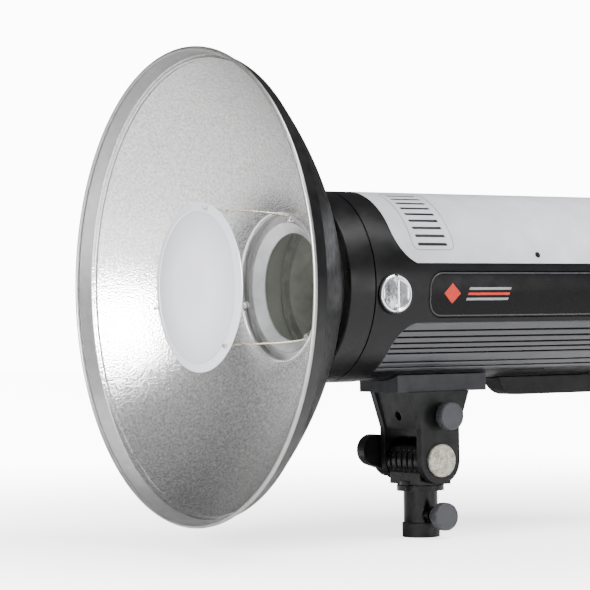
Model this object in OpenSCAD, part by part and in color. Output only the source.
// Studio flash head with a beauty dish, on a tilting umbrella bracket.
// Millimetres. The origin is the centre of the stand socket's mouth and +Z runs up the stand.
// The lamp faces -Y, and its release knob is on the +X side.
// Distances called d run backwards along the lamp's axis, from a plane that lies datum_reach ahead
// of the tilt pivot. The dish's own parts count theirs from its rim, which is rim_lead further ahead.

/* [Dish] */
// Outside diameter over the rolled rim
dish_dia = 410; // [400:2:414]
// Depth of the dish from its rim to its neck
dish_depth = 96; // [94:1:98]
// Thickness of the dish's sheet metal
sheet = 1.2; // [1:0.1:1.5]
// Diameter of the deflector in front of the lamp
deflector_dia = 146; // [142:1:148]
// Diameter of the hole that the light comes through
aperture_dia = 94.8; // [92:0.2:96]

/* [Body] */
// Diameter of the lamp's body
body_dia = 170; // [170:1:172]
// Wall thickness of the body's shells
wall = 3; // [2.5:0.5:3]
// Distance d of the front of the body
body_front = 103.4; // [103:0.2:104]
// Distance d of the rear of the body
body_back = 438.6; // [436:0.2:442]
// Height of the top cover's lower edge above the lamp's axis
cover_edge = 18.5; // [17:0.5:20]
// Number of vent slots on each side of the top cover
vent_count = 9; // [5:1:9]
// Width of a vent slot
vent_w = 3; // [2:0.1:3.2]
// Angles of the grooves along the lower shell, below the horizontal
groove_angles = [28.4, 32.7, 37, 41, 45, 53, 58.5];
// Clear space between the rear panel and the handle
finger_gap = 42; // [38:1:48]

/* [Bracket] */
// Height of the tilt pivot above the mouth of the stand socket
pivot_z = 70; // [68:1:74]
// Height of the lamp's axis above the tilt pivot
axis_rise = 157; // [157:1:158]
// Distance d of the tilt pivot
datum_reach = 234; // [233:1:236]
// How far the dish's rim lies ahead of the plane that d starts from
rim_lead = 10; // [9:0.5:11]
// Width over the bracket's two cheeks
bracket_w = 64; // [64:1:66]
// Radius of the bore that takes an umbrella's shaft
umbrella_r = 4.25; // [4:0.05:4.5]
// Height of the umbrella bore above the tilt pivot
umbrella_rise = 40; // [39:1:41]

/* [Stand receiver] */
// Radius of the socket that takes a 16 mm stand spigot
socket_r = 8.1; // [8:0.05:8.3]
// Depth of the socket
socket_depth = 45; // [40:1:46]
// Radius of the receiver's tube
tube_r = 15.5; // [15:0.1:16]
// Diameter of the clamp knobs
knob_dia = 25; // [23:1:26]

/* [Hidden] */

$fn = 96;
eps = 0.01;

axis_z = pivot_z + axis_rise;
body_r = body_dia / 2;
inner_r = body_r - wall;
cheek_x = bracket_w / 2;
cheek_t = 7;
knob_r = knob_dia / 2;

// Dish
rim_r = dish_dia / 2;
bead_r = 1.8;
skirt_depth = 13.4;
step_r = rim_r - 6.4;
step_d = skirt_depth + 1;
neck_r = 67;
neck_wall = 3;
neck_front = dish_depth - 1.4;
neck_back = dish_depth + 43;
bowl_power = 1.74;
bowl_steps = 18;
deflector_d = 14;
wire_angles = [74, 194, 314];
wire_r = 0.9;
wire_front_r = deflector_dia / 2 - 4.5;
screw_ring_d = dish_depth + 1.6;

// Body
seam_d = 130.4;
seam_gap = 0.6;
cover_front = 156;
shell_back = body_back - 10;
sweep_r = 33.5;
sweep_z = 49;
field_front = 157.5;
field_sweep = 24;
panel_front = 186;
panel_back = 398;
panel_top = 12;
panel_bottom = -29.5;
panel_corner = 16;
knob_d = 150.5;
knob_drop = 8;
cam_throw = 4;
bezel_r = 17.6;
release_r = 16.2;
bulkhead_d = 133.4;
chamber_r = 55.2;
chamber_back = 166;
rear_panel_d = body_back - 6;
rear_panel_t = 3;
panel_face = rear_panel_d + rear_panel_t;

// Bracket, relative to the pivot
slab_low = 62;
slab_front = 189.5;
slab_back = 288;
bolt_r = 4.95;
umbrella_knob_d = 237.5;
handle_nose = 316;

// The same places measured from the origin
function at(d) = d - datum_reach;

// The bowl's inner face, from the neck (t = 0) to the step below the skirt (t = 1)
function bowl_r(t) = neck_r + (step_r - neck_r) * t;
function bowl_d(t) = step_d + (dish_depth - step_d) * (1 - pow(t, bowl_power));
function bowl_slope(t) = (dish_depth - step_d) * bowl_power * pow(t, bowl_power - 1) / (step_r - neck_r);
function bowl_out(t, by) =
    let (s = bowl_slope(t), n = sqrt(1 + s * s))
    [bowl_r(t) + by * s / n, bowl_d(t) + by / n];

// A profile of [radius, d] turned about the lamp's axis
module turned() {
    translate([0, at(0), axis_z]) rotate([-90, 0, 0]) rotate_extrude($fn = 180) children();
}

// Moves what is drawn for the dish, whose distances start at its rim
module from_rim() {
    translate([0, -rim_lead, 0]) children();
}

// A shape drawn in X and Z about the lamp's axis, extruded from d0 back to d1
module section(d0, d1) {
    translate([0, at(d1), axis_z]) rotate([90, 0, 0]) linear_extrude(d1 - d0) children();
}

// A shape drawn in d and height above the lamp's axis, extruded from x0 to x1
module side(x0, x1) {
    translate([x0, at(0), axis_z]) rotate([90, 0, 90]) linear_extrude(x1 - x0) children();
}

// A shape drawn in Y and Z about the tilt pivot, extruded from x0 to x1
module pivot_side(x0, x1) {
    translate([x0, 0, pivot_z]) rotate([90, 0, 90]) linear_extrude(x1 - x0) children();
}

// A round bar along X, from x0 to x1, centred on the current origin
module bar_x(r, x0, x1) {
    translate([x0, 0, 0]) rotate([0, 90, 0]) cylinder(r = r, h = x1 - x0);
}

// A rectangle with round corners, centred
module rounded(w, h, r) {
    square([w - 2 * r, h], center = true);
    square([w, h - 2 * r], center = true);
    for (sx = [-1, 1], sy = [-1, 1])
        translate([sx * (w / 2 - r), sy * (h / 2 - r)]) circle(r = r, $fn = 32);
}

// A slot of width w with round ends, centred, along the first axis
module slot(length, w) {
    square([length - w, w], center = true);
    for (s = [-1, 1])
        translate([s * (length - w) / 2, 0]) circle(r = w / 2, $fn = 24);
}

module body_cylinder(r) {
    translate([0, at(body_front), axis_z]) rotate([-90, 0, 0])
        cylinder(r = r, h = body_back - body_front, $fn = 180);
}

// ---- Stand receiver ----

module stand_receiver() {
    tongue_x = 23.5;
    collar_z = pivot_z - 28;
    color("#1b1c1e") difference() {
        union() {
            cylinder(r = tube_r, h = collar_z + eps);
            translate([0, 0, collar_z]) cylinder(r = 21.5, h = 5);
            translate([0, 0, collar_z + 5]) cylinder(r = 19, h = 4);
            translate([-tongue_x, -17, collar_z + 6]) cube([2 * tongue_x, 34, 22]);
            translate([0, 0, pivot_z]) bar_x(20.5, -tongue_x, tongue_x);
            translate([0, 0, 20]) bar_x(8, 10, 21);
        }
        translate([0, 0, -1]) cylinder(r = socket_r, h = socket_depth + 1);
        translate([0, 0, 20]) bar_x(3.05, 0, 22);
        translate([0, 0, pivot_z]) bar_x(bolt_r + 0.07, -30, 30);
        for (x = [-17:8.5:17])
            translate([x - 1.5, -24, collar_z + 9]) cube([3, 6, 34]);
        difference() {
            translate([0, 0, -1]) cylinder(r = 40, h = 14);
            translate([0, 0, -2]) cylinder(r = 13.4, h = 16);
        }
    }
}

module socket_ring() {
    color("#222326") difference() {
        cylinder(r = 17, h = 12.9);
        translate([0, 0, -1]) cylinder(r = 13.45, h = 15);
    }
}

module friction_washers() {
    color("#8f9092") for (s = [-1, 1])
        translate([s * 24.1, 0, pivot_z]) difference() {
            bar_x(18, -0.55, 0.55);
            bar_x(bolt_r + 0.1, -2, 2);
        }
}

// A clamp knob with flutes round its edge, its face at x1
module knob_grip(x0, x1) {
    difference() {
        bar_x(knob_r, x0, x1);
        for (a = [0:30:330])
            rotate([a, 0, 0]) translate([0, knob_r + 1.2, 0]) bar_x(2, x0 - 1, x1 - 1.5);
        bar_x(knob_r - 2, x1 - 0.5, x1 + 1);
    }
}

module clamp_screw(x0, x1) {
    bar_x(3, x0, x1);
    translate([x0 - 1, 0, 0]) rotate([0, 90, 0]) cylinder(r = 2.2, h = 1 + eps);
}

module stand_knob() {
    color("#67696d") translate([0, 0, 20]) difference() {
        union() {
            knob_grip(31, 41);
            bar_x(7, 22, 31.5);
        }
        bar_x(3, 21, 37);
    }
}

module stand_screw() {
    color("#a9abad") translate([0, 0, 20]) clamp_screw(10, 36.9);
}

// ---- Tilt clamp ----

module tilt_lever() {
    x0 = -cheek_x - 18;
    x1 = -cheek_x - 1.6;
    color("#1d1e20") difference() {
        union() {
            pivot_side(x0, x1) circle(r = 17.5);
            pivot_side(x0 + 3, x1 - 2) hull() {
                circle(r = 14, $fn = 32);
                translate([-23, 8]) circle(r = 14.5, $fn = 32);
            }
            pivot_side(x0 + 3, x1 - 2) hull() {
                circle(r = 14, $fn = 32);
                translate([33, -32]) circle(r = 12, $fn = 32);
            }
        }
        translate([0, 0, pivot_z]) bar_x(9.5, x0 + 4, x1 + 1);
        translate([0, 0, pivot_z]) bar_x(6, x0 - 1, x1 + 1);
    }
}

module lever_nut() {
    x1 = -cheek_x - 1;
    color("#b4b6b8") translate([0, 0, pivot_z]) difference() {
        bar_x(9.4, x1 - 12, x1);
        bar_x(bolt_r + 0.06, x1 - 14, x1 + 1);
    }
}

module cheek_outline() {
    circle(r = 21.3);
    polygon([[-21.3, 0], [21.3, 0], [21.3, 29], [33, slab_low], [-32, slab_low], [-21.3, 29]]);
}

module bracket() {
    color("#3c3e41") difference() {
        union() {
            pivot_side(cheek_x - cheek_t, cheek_x) cheek_outline();
            pivot_side(-cheek_x, cheek_t - cheek_x) cheek_outline();
            pivot_side(cheek_t - cheek_x - eps, cheek_x - cheek_t + eps)
                polygon([[-19.5, 28], [19.5, 28], [31, slab_low], [-30, slab_low]]);
        }
        translate([0, 0, pivot_z]) bar_x(bolt_r + 0.05, -cheek_x - 1, cheek_x + 1);
        translate([0, -50, pivot_z + umbrella_rise]) rotate([-90, 0, 0]) cylinder(r = umbrella_r, h = 100);
        translate([0, at(umbrella_knob_d), pivot_z + umbrella_rise]) bar_x(3.05, 0, cheek_x + 1);
    }
}

module pivot_bolt() {
    color("#9fa1a3") translate([0, 0, pivot_z]) {
        bar_x(bolt_r, -cheek_x - 13, cheek_x + 0.5);
        bar_x(13, cheek_x + 0.05, cheek_x + 1.5);
    }
}

module pivot_cap() {
    color("#c8c7bd") translate([0, 0, pivot_z]) difference() {
        union() {
            bar_x(14.75, cheek_x + 0.05, cheek_x + 2.6);
            bar_x(14, cheek_x + 2.5, cheek_x + 3.4);
        }
        bar_x(13.05, cheek_x, cheek_x + 1.55);
    }
}

module umbrella_knob() {
    color("#67696d") translate([0, at(umbrella_knob_d), pivot_z + umbrella_rise]) difference() {
        union() {
            knob_grip(cheek_x + 5, cheek_x + 15);
            bar_x(6, cheek_x + 1, cheek_x + 5.5);
        }
        bar_x(3, cheek_x, cheek_x + 11);
    }
}

module umbrella_screw() {
    color("#a9abad") translate([0, at(umbrella_knob_d), pivot_z + umbrella_rise])
        clamp_screw(umbrella_r + 1.8, cheek_x + 10.9);
}

// ---- Slab and chassis ----

slab_screw_places = [for (x = [-20, 20], d = [198, 276]) [x, at(d)]];

module mount_slab() {
    color("#55585c") difference() {
        translate([-30, at(slab_front), pivot_z + slab_low])
            cube([60, slab_back - slab_front, axis_z - pivot_z - slab_low - 76.5]);
        body_cylinder(body_r + 0.02);
        for (p = slab_screw_places) translate([p[0], p[1], pivot_z + slab_low - 1]) {
            cylinder(r = 4.6, h = 6);
            cylinder(r = 2.6, h = 30);
        }
    }
}

module slab_screws() {
    color("#8c8e90") for (p = slab_screw_places) translate([p[0], p[1], pivot_z + slab_low + 0.6]) difference() {
        union() {
            cylinder(r = 4.4, h = 4.3);
            cylinder(r = 2.5, h = 23.5);
        }
        translate([0, 0, -1]) cylinder(r = 2, h = 3.5, $fn = 6);
    }
}

module chassis_plate() {
    color("#b9bbbd") difference() {
        translate([-34, at(172), axis_z - 73.6]) cube([68, 220, 2]);
        for (p = slab_screw_places) translate([p[0], p[1], axis_z - 80]) cylinder(r = 2.6, h = 20);
    }
}

// ---- Front of the body ----

module front_ring() {
    color("#1a1b1d") turned() polygon([
        [76, body_front], [body_r - 1.4, body_front], [body_r, body_front + 1.4], [body_r, seam_d - 0.8],
        [body_r - 0.8, seam_d], [80.2, seam_d], [80.2, 119], [76, 119]
    ]);
}

// A wedge of a turned ring, centred on the angle a measured from +X towards +Z
module ring_sector(r0, r1, d0, d1, a, span) {
    translate([0, at(d0), axis_z]) rotate([-90, 0, 0]) rotate([0, 0, -a - span / 2])
        rotate_extrude(angle = span, $fn = 96) translate([r0, 0]) square([r1 - r0, d1 - d0]);
}

module bayonet_ring() {
    color("#a7a9ab") difference() {
        turned() translate([neck_r + 0.5, 119.05]) square([80.15 - neck_r - 0.5, 4]);
        for (a = [55, 175, 295]) ring_sector(neck_r - 1, 74.5, 118, 125, a, 36);
    }
}

// Room in the walls for the round bezel
module bezel_hole() {
    translate([78, at(knob_d), axis_z - knob_drop]) bar_x(bezel_r + 0.2, 0, 12);
}

module front_bulkhead() {
    color("#b9bbbd") difference() {
        turned() translate([chamber_r + 0.1, bulkhead_d]) square([inner_r - 0.1 - chamber_r, 2]);
        translate([71.5, at(130), axis_z - knob_drop]) rotate([-90, 0, 0]) cylinder(r = 2.06, h = 10);
        bezel_hole();
    }
}

module shell_tube(front) {
    turned() translate([inner_r, front]) square([wall, shell_back - front]);
}

// The top cover's outline seen from the side, grown by a gap
module cover_outline(gap) {
    difference() {
        union() {
            translate([cover_front - gap, sweep_z]) square([400, 60]);
            translate([cover_front + sweep_r, 0]) square([400, 100]);
            translate([cover_front + sweep_r, sweep_z]) circle(r = sweep_r + gap, $fn = 120);
        }
        translate([0, -100]) square([600, 100 + cover_edge - gap]);
    }
}

// The ribbed field's outline seen from the side
module field_outline() {
    field_top = -body_r * sin(23);
    difference() {
        translate([field_front, -90]) square([shell_back - 14 - field_front, 90 + field_top]);
        difference() {
            translate([field_front - 1, field_top - field_sweep]) square([field_sweep + 1, field_sweep + 2]);
            translate([field_front + field_sweep, field_top - field_sweep]) circle(r = field_sweep, $fn = 120);
        }
    }
}

module groove(a, d0, d1, deep, w) {
    for (s = [0, 1]) mirror([s, 0, 0])
        translate([0, at(d0), axis_z]) rotate([0, a, 0])
            translate([body_r - deep, 0, -w / 2]) cube([deep + 2, d1 - d0, w]);
}

module panel_outline(gap) {
    translate([(panel_front + panel_back) / 2, (panel_top + panel_bottom) / 2])
        rounded(panel_back - panel_front - 2 * gap, panel_top - panel_bottom - 2 * gap, panel_corner - gap);
}

module side_band(r0, r1) {
    turned() translate([r0, cover_front - 5]) square([r1 - r0, shell_back - cover_front]);
}

module lower_shell() {
    color("#26282b") difference() {
        shell_tube(seam_d + seam_gap);
        side(-100, 100) cover_outline(0.3);
        intersection() {
            side_band(body_r - 1.4, body_r + 1);
            side(-100, 100) panel_outline(0);
        }
        intersection() {
            side_band(body_r - 0.5, body_r + 1);
            side(-100, 100) field_outline();
        }
        intersection() {
            for (a = groove_angles) groove(a, field_front, shell_back - 14, 2, 1.8);
            side(-100, 100) field_outline();
        }
        for (a = [66, 73, 80]) {
            groove(a, 152, 172, 1.6, 1.6);
            groove(a, 318, 352, 1.6, 1.6);
        }
        bezel_hole();
        for (p = slab_screw_places) translate([p[0], p[1], axis_z - 90]) cylinder(r = 2.7, h = 20);
        for (p = cover_screw_places) cover_screw_hole(p);
    }
}

vent_angles = [for (i = [0:vent_count - 1]) 24.4 + i * 5.7];

module top_cover() {
    color("#dcdee0") difference() {
        intersection() {
            shell_tube(cover_front);
            side(-100, 100) cover_outline(0);
        }
        for (a = vent_angles, s = [0, 1]) mirror([s, 0, 0])
            translate([0, at(196.2), axis_z]) rotate([0, -a, 0]) translate([body_r - 6, 0, 0])
                rotate([90, 0, 90]) linear_extrude(9) slot(32, vent_w);
        for (p = cover_screw_places) cover_screw_hole(p);
    }
}

cover_screw_places = [for (s = [-1, 1], d = [310, 400]) [s, at(d)]];

module cover_screw_hole(p) {
    translate([0, p[1], axis_z]) rotate([0, p[0] > 0 ? -18 : 198, 0]) {
        translate([body_r - 1.2, 0, 0]) bar_x(2.9, 0, 3);
        bar_x(1.6, body_r - 8, body_r + 2);
    }
}

module cover_screws() {
    color("#2b2c2e") for (p = cover_screw_places)
        translate([0, p[1], axis_z]) rotate([0, p[0] > 0 ? -18 : 198, 0]) difference() {
            union() {
                translate([body_r - 1.2, 0, 0]) bar_x(2.8, 0, 1.1);
                bar_x(1.5, body_r - 7, body_r - 1);
            }
            translate([body_r - 0.8, 0, 0]) cube([1.6, 3.6, 0.7], center = true);
            translate([body_r - 0.8, 0, 0]) cube([1.6, 0.7, 3.6], center = true);
        }
}

module label_panel(s) {
    color("#17181a") mirror([s, 0, 0]) {
        intersection() {
            side_band(body_r - 1.35, body_r - 0.5);
            side(0, 100) panel_outline(0.3);
        }
        intersection() {
            side_band(body_r - 0.6, body_r + 0.2);
            side(0, 100) difference() {
                panel_outline(1.6);
                panel_outline(2.8);
            }
        }
    }
}

module label_panel_right() label_panel(0);

module label_panel_left() label_panel(1);

// ---- Dish release ----

module knob_bezel() {
    color("#131415") translate([0, at(knob_d), axis_z - knob_drop]) difference() {
        bar_x(bezel_r, 79, 86.4);
        bar_x(release_r + 0.4, 81.5, 90);
        bar_x(5.06, 70, 90);
    }
}

module release_knob() {
    color("#cfd1d4") translate([0, at(knob_d), axis_z - knob_drop]) {
        bar_x(5, 67, 83);
        difference() {
            bar_x(release_r, 82, 87.2);
            for (s = [-1, 1]) intersection() {
                bar_x(release_r - 2, 84.4, 90);
                translate([83, s > 0 ? 2 : -32, -20]) cube([8, 30, 40]);
            }
        }
        intersection() {
            bar_x(release_r - 1.9, 84.4, 90.6);
            translate([83, -2, -20]) cube([8, 4, 40]);
        }
    }
}

module release_cam() {
    color("#9fa1a3") translate([0, at(knob_d), axis_z - knob_drop]) {
        bar_x(cam_throw + 1.6, 64.4, 66.95);
        translate([0, 0, cam_throw]) bar_x(1.5, 58.5, 65);
    }
}

module lock_pin() {
    color("#9fa1a3") translate([0, 0, axis_z - knob_drop]) {
        translate([71.5, at(128.35), 0]) rotate([-90, 0, 0]) cylinder(r = 2, h = 9);
        difference() {
            translate([57.5, at(137), -9]) cube([5, 21, 21]);
            translate([56, at(knob_d) - 2.9, -3.5]) cube([8, 5.8, 11]);
        }
        translate([57.5, at(136.2), -4]) cube([16, 2.6, 8]);
    }
}

// ---- Lamp ----

module reflector_pan() {
    collar_front = 127.6;
    color("#77786f") turned() polygon([
        [chamber_r - 1.2, 131.6], [chamber_r - 1.2, chamber_back - 1.2], [41, chamber_back - 1.2],
        [41, chamber_back], [chamber_r, chamber_back], [chamber_r, 132.4], [63.3, 132.4],
        [63.3, collar_front], [62.5, collar_front], [62.5, 131.6]
    ]);
}

module flash_tube() {
    color("#e8e6da") {
        turned() translate([30, 152]) circle(r = 4, $fn = 24);
        for (a = [-15, 15]) rotate_about_axis(a) translate([30, at(152), 0]) rotate([-90, 0, 0])
            cylinder(r = 3.2, h = 17);
    }
}

// Turns what is drawn about the lamp's axis, with 0 at the bottom
module rotate_about_axis(a) {
    translate([0, 0, axis_z]) rotate([0, 90 + a, 0]) children();
}

module tube_base() {
    color("#d9d5c8") difference() {
        turned() translate([14.6, 166.1]) square([26.2, 10]);
        for (a = [-15, 15]) rotate_about_axis(a) translate([30, at(160), 0]) rotate([-90, 0, 0])
            cylinder(r = 3.3, h = 9.2);
    }
}

module modelling_lamp() {
    color("#f1efe6") turned() polygon([
        [0, 145], [4, 145.6], [7, 147.6], [8.6, 150.5], [9, 154], [8.6, 162], [7, 165], [7, 178], [0, 178]
    ]);
}

module lamp_socket() {
    color("#c9c5b8") turned() polygon([
        [7.1, 168], [14.4, 168], [14.4, 184.5], [0, 184.5], [0, 178.1], [7.1, 178.1]
    ]);
}

module heat_baffle() {
    color("#b0b2b4") difference() {
        turned() translate([0, 185]) square([inner_r - 0.3, 1.5]);
        translate([-40, at(184), axis_z - 90]) cube([80, 4, 19]);
        for (a = [0:30:330]) rotate_about_axis(a) translate([58, at(180), 0]) rotate([-90, 0, 0])
            cylinder(r = 7, h = 10, $fn = 32);
    }
}

// ---- Electronics ----

capacitor_places = [[-26, -28], [26, -28], [-30, 22], [30, 22]];

module capacitor_bank() {
    color("#2f4f8f") for (p = capacitor_places) section(196, 306)
        translate(p) circle(r = 24);
}

module capacitor_clamp() {
    color("#3a3b3d") section(248, 256) difference() {
        circle(r = inner_r - 1);
        for (p = capacitor_places) translate(p) circle(r = 24.05);
        translate([-45, -90]) square([90, 22]);
        translate([-90, 54]) square([180, 40]);
    }
}

module main_board() {
    color("#1f6b3a") {
        section(196, 386) translate([-50, 58]) square([100, 1.6]);
        for (i = [0:3]) section(320 + i * 16, 330 + i * 16) translate([-20, 40]) square([40, 18.05]);
        section(206, 236) translate([-34, 59.5]) square([24, 10]);
        section(206, 250) translate([8, 59.5]) square([26, 8]);
    }
}

module trigger_coil() {
    color("#b06a2a") translate([0, at(340), axis_z - 14]) rotate([-90, 0, 0]) difference() {
        cylinder(r = 30, h = 26);
        translate([0, 0, -1]) cylinder(r = 12, h = 30);
    }
}

module fan_frame() {
    color("#1c1d1f") section(394, 408) difference() {
        rounded(60, 60, 4);
        circle(r = 27.5);
        for (sx = [-1, 1], sy = [-1, 1]) translate([sx * 25.5, sy * 25.5]) circle(r = 2.2, $fn = 24);
    }
    color("#1c1d1f") section(406, 408) {
        circle(r = 12);
        for (a = [0, 120, 240]) rotate(a) translate([0, -1.5]) square([28.5, 3]);
    }
}

module fan_rotor() {
    color("#2a2b2d") section(394.5, 405.5) circle(r = 12);
    color("#2a2b2d") for (i = [0:6]) rotate_about_axis(i * 360 / 7)
        translate([11, at(400), 0]) rotate([38, 0, 0]) translate([0, -6, -0.6]) cube([15.5, 12, 1.2]);
}

// ---- Rear ----

module rear_bezel() {
    color("#1a1b1d") turned() polygon([
        [inner_r - 3, shell_back + 0.3], [body_r, shell_back + 0.3], [body_r, body_back - 4],
        [body_r - 4, body_back], [78.2, body_back], [78.2, rear_panel_d - 0.1], [inner_r - 3, rear_panel_d - 0.1]
    ]);
}

display_at = [-47, 30];
sensor_at = [-30, 56];
button_at = [[-46, 6], [-62, 6]];
switch_at = [-48, -24];
fuse_at = [-30, -56];
sync_at = [30, -16];
inlet_at = [42, -42];
dial_at = [[44, 38], [56, 6]];

module rear_panel() {
    color("#2a2b2e") section(rear_panel_d, panel_face) difference() {
        circle(r = 78, $fn = 180);
        translate(display_at) rounded(34.2, 22.2, 2.1);
        translate(sensor_at) circle(r = 6.1);
        for (p = button_at) translate(p) circle(r = 5);
        translate(switch_at) square([20.4, 15.6], center = true);
        translate(fuse_at) circle(r = 7.05);
        translate(sync_at) circle(r = 6.05);
        translate(inlet_at) square([28.1, 20.1], center = true);
        for (p = dial_at) translate(p) circle(r = 3.4);
        for (i = [-3:3]) translate([i * 6.5, 0]) rotate(90) slot(2 * sqrt(26 * 26 - i * i * 42), 3);
    }
}

module display_window() {
    color("#26343c") section(rear_panel_d, panel_face + 0.6) translate(display_at) rounded(34, 22, 2);
}

module slave_sensor() {
    color("#7d1f1c") translate([sensor_at[0], at(0), axis_z + sensor_at[1]]) rotate([-90, 0, 0])
        rotate_extrude() polygon([
            [0, rear_panel_d], [6, rear_panel_d], [6, panel_face + 2], [5, panel_face + 4.6],
            [3, panel_face + 6.2], [0, panel_face + 6.8]
        ]);
}

module sync_jack() {
    color("#26272a") translate([sync_at[0], at(0), axis_z + sync_at[1]]) rotate([-90, 0, 0])
        rotate_extrude() polygon([
            [3.25, panel_face + 1.6], [7.5, panel_face + 1.6], [7.5, panel_face], [6, panel_face],
            [6, panel_face - 26], [0, panel_face - 26], [0, panel_face - 24], [3.25, panel_face - 24]
        ]);
}

module fuse_holder() {
    color("#141517") translate([fuse_at[0], at(0), axis_z + fuse_at[1]]) rotate([-90, 0, 0]) difference() {
        rotate_extrude() polygon([
            [0, panel_face - 22], [7, panel_face - 22], [7, panel_face], [8.5, panel_face],
            [8.5, panel_face + 3], [6.5, panel_face + 6], [0, panel_face + 6]
        ]);
        translate([0, 0, panel_face + 5.5]) cube([9, 1.4, 2.4], center = true);
    }
}

module mains_inlet() {
    color("#101112") {
        section(panel_face - 18, panel_face) translate(inlet_at) difference() {
            square([28, 20], center = true);
            inlet_mouth();
        }
        section(panel_face - 20, panel_face - 17.9) translate(inlet_at) square([28, 20], center = true);
    }
    color("#b9a468") for (p = [[-7, -1.5], [7, -1.5], [0, -4]])
        section(panel_face - 18, panel_face - 3) translate(inlet_at + p) square([2, 4], center = true);
}

module inlet_mouth() {
    polygon([[-12, -7.5], [12, -7.5], [12, 4.5], [8, 8], [-8, 8], [-12, 4.5]]);
}

module power_switch() {
    color("#151617") translate([switch_at[0], at(panel_face - 3), axis_z + switch_at[1]]) {
        rotate([90, 0, 90]) linear_extrude(19, center = true)
            polygon([[-8, -6.6], [3.6, -6.6], [5.2, 0], [7.2, 6.4], [-8, 6.4]]);
        bar_x(1.2, -10.1, 10.1);
    }
}

module dial(p) {
    color("#1d1e20") translate([p[0], at(0), axis_z + p[1]]) rotate([-90, 0, 0]) difference() {
        rotate_extrude() polygon([
            [0, panel_face - 8], [3, panel_face - 8], [3, panel_face + 0.4], [12, panel_face + 0.4],
            [12, panel_face + 3], [11, panel_face + 4], [10, panel_face + 14], [9, panel_face + 15],
            [0, panel_face + 15]
        ]);
        for (a = [0:30:330]) rotate([0, 0, a]) translate([12.2, 0, panel_face + 4]) cylinder(r = 1.8, h = 13);
        translate([-0.6, -9, panel_face + 14.3]) cube([1.2, 6, 2]);
    }
}

module power_dial() dial(dial_at[0]);

module lamp_dial() dial(dial_at[1]);

module button(p) {
    color("#8a1f1b") translate([p[0], at(0), axis_z + p[1]]) rotate([-90, 0, 0]) rotate_extrude() polygon([
        [0, panel_face - 7], [6.2, panel_face - 7], [6.2, panel_face - 5.4], [4.6, panel_face - 5.4],
        [4.6, panel_face + 1.8], [3.8, panel_face + 2.6], [0, panel_face + 2.6]
    ]);
}

module test_button() button(button_at[0]);

module lamp_button() button(button_at[1]);

// The rear handle: a flat loop that starts under the body and ends above the rear panel
module handle_outline() {
    top = 74;
    low = -101;
    back = panel_face + finger_gap + 20;
    difference() {
        union() {
            translate([handle_nose + 22, low]) square([back - 26 - handle_nose - 22, 26]);
            translate([handle_nose + 22, low + 22]) circle(r = 22);
            translate([back - 26, low + 26]) circle(r = 26);
            translate([back - 60, low + 26]) square([60, top - 26 - low - 26]);
            translate([back - 26, top - 26]) circle(r = 26);
            translate([panel_face, top - 26]) square([back - 26 - panel_face, 26]);
            translate([back - 60, low + 20]) square([34, 20]);
        }
        translate([panel_face - 300, -82.5]) square([300, 200]);
        translate([panel_face, -72]) square([finger_gap, 120]);
        translate([panel_face + 8, -80]) square([finger_gap - 16, 136]);
        for (p = [[8, -72], [finger_gap - 8, -72], [8, 48], [finger_gap - 8, 48]])
            translate([panel_face + p[0], p[1]]) circle(r = 8, $fn = 48);
    }
}

module rear_handle() {
    color("#1b1c1e") difference() {
        side(-12, 12) handle_outline();
        body_cylinder(body_r + 0.05);
    }
}

// ---- Dish ----

module dish_bowl() {
    inner = [for (i = [0:bowl_steps]) bowl_out(1 - i / bowl_steps, 0)];
    outer = [for (i = [0:bowl_steps]) bowl_out(i / bowl_steps, sheet)];
    color("#c4c5c4") from_rim() turned() polygon(concat(
        [[rim_r - 2.9, 2 * bead_r]],
        inner, [[neck_r + 0.02, dish_depth], [neck_r + 0.02, dish_depth + sheet]], outer,
        [[rim_r - 1.6, 2 * bead_r]]
    ));
}

module rim_bead() {
    color("#d6d7d6") from_rim() turned() difference() {
        translate([rim_r - bead_r, bead_r]) circle(r = bead_r, $fn = 32);
        translate([rim_r - 10, 2 * bead_r - 0.2]) square([20, 4]);
    }
}

module dish_neck() {
    back = neck_r - neck_wall;
    color("#b9bab9") from_rim() {
        turned() polygon([
            [back, neck_front + 1.5], [back + 0.5, neck_front + 0.5], [back + 1.5, neck_front],
            [neck_r - 0.8, neck_front + 0.3], [neck_r, neck_front + 1.2], [neck_r, neck_back], [back, neck_back]
        ]);
        for (a = [80, 200, 320]) ring_sector(neck_r - 1, 73.5, neck_back - 5, neck_back - 1, a, 30);
    }
}

module aperture_plate() {
    hole = aperture_dia / 2;
    outer = neck_r - neck_wall - 0.05;
    front = dish_depth + 8;
    color("#c9cacb") from_rim() turned() polygon([
        [outer, front], [57.8, front], [57, front - 1.2], [56, front - 1], [hole, front + 6],
        [hole, front + 7.2], [56.2, front + 0.5], [57.4, front + 1.2], [outer, front + 1.2]
    ]);
}

module deflector() {
    edge = deflector_dia / 2;
    crease = edge - 8.4;
    crease_d = deflector_d - 1.7;
    dome = 5;
    color("#e3e4e8") from_rim() difference() {
        turned() polygon(concat(
            [for (i = [0:10]) let (t = i / 10) [crease * t, crease_d - dome * (1 - t * t)]],
            [[edge, deflector_d], [edge, deflector_d + 1], [crease - 0.3, crease_d + 1.1]],
            [for (i = [0:9]) let (t = 1 - (i + 1) / 10) [crease * t, crease_d + 1 - dome * (1 - t * t)]]
        ));
        for (a = wire_angles) rotate_about_axis(-90 - a) translate([wire_front_r, at(0), 0])
            rotate([-90, 0, 0]) cylinder(r = wire_r + 0.2, h = deflector_d + 6, $fn = 24);
    }
}

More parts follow.
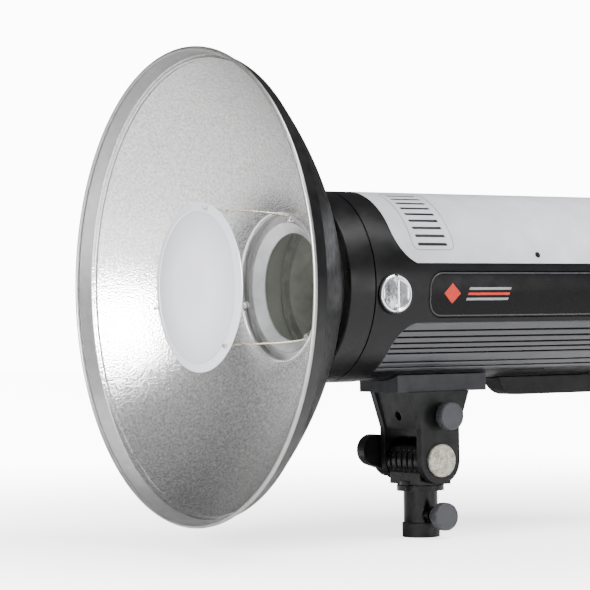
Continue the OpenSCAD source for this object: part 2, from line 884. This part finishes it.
// A bent round wire along points of [radius, d] in the plane at angle a about the lamp's axis
module bent_wire(a, route) {
    sides = 10;
    last = len(route) - 1;
    points = [for (i = [0:last]) let (
        before = route[max(i - 1, 0)],
        after = route[min(i + 1, last)],
        along = (after - before) / norm(after - before),
        across = [-along[1], along[0]]
    ) for (k = [0:sides - 1]) let (f = k * 360 / sides, p = route[i] + wire_r * cos(f) * across)
        [p[0], p[1], wire_r * sin(f)]];
    walls = [for (i = [0:last - 1], k = [0:sides - 1]) let (n = (k + 1) % sides)
        [i * sides + k, i * sides + n, (i + 1) * sides + n, (i + 1) * sides + k]];
    ends = [[for (k = [sides - 1:-1:0]) k], [for (k = [0:sides - 1]) last * sides + k]];
    rotate_about_axis(-90 - a) translate([0, at(0), 0])
        polyhedron(points, concat(walls, ends));
}

module support_wires() {
    r = wire_front_r;
    d = deflector_d;
    route = [
        [r + 3.4, d - 4.5], [r + 1.2, d - 4.7], [r + 0.2, d - 4], [r, d - 2.8], [r, d + 11], [r - 0.5, d + 13],
        [r - 2, d + 16], [r - 0.5, d + 19], [r - 0.3, d + 21], [r - 1, d + 44], [r - 2.4, d + 64],
        [r - 4.6, screw_ring_d - 5], [62.8, screw_ring_d - 3.2], [61.6, screw_ring_d - 2.6]
    ];
    color("#b8a986") from_rim() for (a = wire_angles) bent_wire(a, route);
}

module wire_screws() {
    color("#c3c4c2") from_rim() for (a = wire_angles) rotate_about_axis(-90 - a)
        translate([0, at(screw_ring_d), 0]) {
            bar_x(2.6, 58.6, 60.4);
            bar_x(1.5, 60.3, neck_r - neck_wall);
        }
}

stand_receiver();
socket_ring();
friction_washers();
stand_knob();
stand_screw();
tilt_lever();
lever_nut();
bracket();
pivot_bolt();
pivot_cap();
mount_slab();
slab_screws();
chassis_plate();
umbrella_knob();
umbrella_screw();
front_ring();
bayonet_ring();
front_bulkhead();
lower_shell();
top_cover();
cover_screws();
label_panel_right();
label_panel_left();
knob_bezel();
release_knob();
release_cam();
lock_pin();
reflector_pan();
flash_tube();
tube_base();
modelling_lamp();
lamp_socket();
heat_baffle();
capacitor_bank();
capacitor_clamp();
main_board();
trigger_coil();
fan_frame();
fan_rotor();
rear_bezel();
rear_panel();
display_window();
slave_sensor();
sync_jack();
fuse_holder();
mains_inlet();
power_switch();
power_dial();
lamp_dial();
test_button();
lamp_button();
rear_handle();
dish_bowl();
rim_bead();
dish_neck();
aperture_plate();
deflector();
support_wires();
wire_screws();
